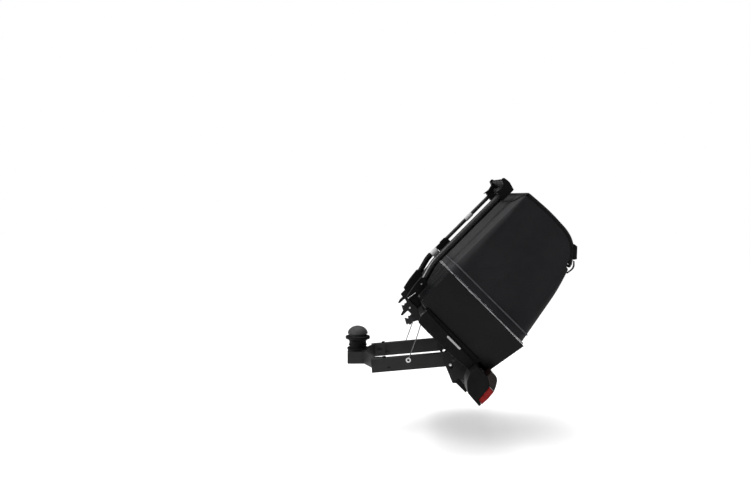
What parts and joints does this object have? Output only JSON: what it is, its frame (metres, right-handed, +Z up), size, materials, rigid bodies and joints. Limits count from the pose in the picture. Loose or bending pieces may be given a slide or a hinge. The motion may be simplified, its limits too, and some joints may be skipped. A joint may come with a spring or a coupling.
{
  "type": "tow-ball cargo carrier",
  "caption": "Platform carrier that clamps on a tow ball and tips back on two arms, with an upright frame, rear lamps and a soft-topped cargo box.",
  "frame": {"origin": "centre of the tow ball that the coupling closes on", "axes": "+X rearwards, away from the towing vehicle, Y along the carrier's width with the left side at -Y, +Z up and -Z out of the ball socket's mouth"},
  "size_m": [0.9631, 1.0394, 0.9426],
  "materials": {
    "arm_paint": "satin",
    "frame_paint": "satin",
    "black_plastic": "fine grain",
    "zinc": "zinc plated",
    "grey_plastic": "satin",
    "tub_plastic": "semi-gloss",
    "fabric": "coated weave",
    "rubber": "matt",
    "webbing": "woven",
    "red_lens": "moulded lens",
    "smoke_lens": "moulded lens"
  },
  "bodies": {
    "coupling": {"coupling_block": "arm_paint", "ribbed_column": "black_plastic", "brim_ring": "black_plastic", "yoke_left": "arm_paint", "yoke_right": "arm_paint", "arm_left": "arm_paint", "arm_right": "arm_paint", "yoke_bolt_left": "zinc", "yoke_bolt_right": "zinc", "clamp_nut_left": "zinc", "clamp_nut_right": "zinc", "wire_bolt_left": "zinc", "wire_bolt_right": "zinc", "hinge_bolt_left": "zinc", "hinge_bolt_right": "zinc", "stop_pin_left": "zinc", "stop_pin_right": "zinc"},
    "knob": {"dome_knob": "black_plastic", "knob_spindle": "zinc"},
    "jaw": {"clamp_jaw": "zinc"},
    "platform": {"swing_channel_left": "frame_paint", "swing_channel_right": "frame_paint", "cross_tube_front": "frame_paint", "cross_tube_middle": "frame_paint", "cross_tube_rear": "frame_paint", "side_plate_left": "black_plastic", "side_plate_right": "black_plastic", "light_bar": "black_plastic", "plate_holder": "black_plastic", "lamp_housing_left": "black_plastic", "lamp_housing_right": "black_plastic", "red_lens_left": "red_lens", "red_lens_right": "red_lens", "clear_lens_left": "smoke_lens", "clear_lens_right": "smoke_lens", "upright_frame": "frame_paint", "foot_block_left": "black_plastic", "foot_block_right": "black_plastic", "top_bracket_left": "black_plastic", "top_bracket_right": "black_plastic", "sleeve_large": "grey_plastic", "sleeve_small": "grey_plastic", "frame_clamp": "black_plastic", "tub": "tub_plastic", "tub_rim": "grey_plastic", "side_panel_left": "fabric", "side_panel_right": "fabric", "front_panel": "fabric", "rear_panel": "fabric", "restraint_wire_left": "zinc", "restraint_wire_right": "zinc"},
    "lid": {"lid": "fabric", "lid_piping": "rubber", "buckle_left": "black_plastic", "buckle_right": "black_plastic", "closure_strap_left": "webbing", "closure_strap_right": "webbing"},
    "pedal": {"foot_pedal": "black_plastic"},
    "hook_left": {"latch_hook_left": "zinc"},
    "hook_right": {"latch_hook_right": "zinc"}
  },
  "joints": [
    {"name": "platform_tip", "type": "hinge", "parent": "coupling", "child": "platform", "pos_m": [0.43, 0, 0.0235], "axis": [0, 1, 0], "range_deg": [-50, 0], "deforming": ["restraint_wire_left", "restraint_wire_right"]},
    {"name": "lid_open", "type": "hinge", "parent": "platform", "child": "lid", "pos_m": [0.71539, 0, 0.74121], "axis": [0, 1, 0], "range_deg": [-80, 0]},
    {"name": "knob_turn", "type": "hinge", "parent": "coupling", "child": "knob", "pos_m": [0.01, 0, 0.11], "axis": [0, 0, 1], "range_deg": [0, 180]},
    {"name": "jaw_slide", "type": "slide", "parent": "coupling", "child": "jaw", "axis": [1, 0, 0], "range_m": [0, 0.004]},
    {"name": "pedal_press", "type": "hinge", "parent": "platform", "child": "pedal", "pos_m": [0.43, 0, -0.06135], "axis": [0, 1, 0], "range_deg": [0, 15], "stiffness_Nm_per_rad": 6, "springref_deg": -17.19},
    {"name": "latch_left_turn", "type": "hinge", "parent": "platform", "child": "hook_left", "pos_m": [0.24898, -0.2, 0.19603], "axis": [0, 1, 0], "range_deg": [-12.5, 0]},
    {"name": "latch_right_turn", "type": "hinge", "parent": "platform", "child": "hook_right", "pos_m": [0.24898, 0.2, 0.19603], "axis": [0, 1, 0], "range_deg": [-12.5, 0]}
  ],
  "couplings": [
    {"joint": "jaw_slide", "follows": "knob_turn", "m_per_rad": 0.00127},
    {"joint": "latch_left_turn", "follows": "pedal_press", "ratio": -0.8},
    {"joint": "latch_right_turn", "follows": "pedal_press", "ratio": -0.8}
  ]
}
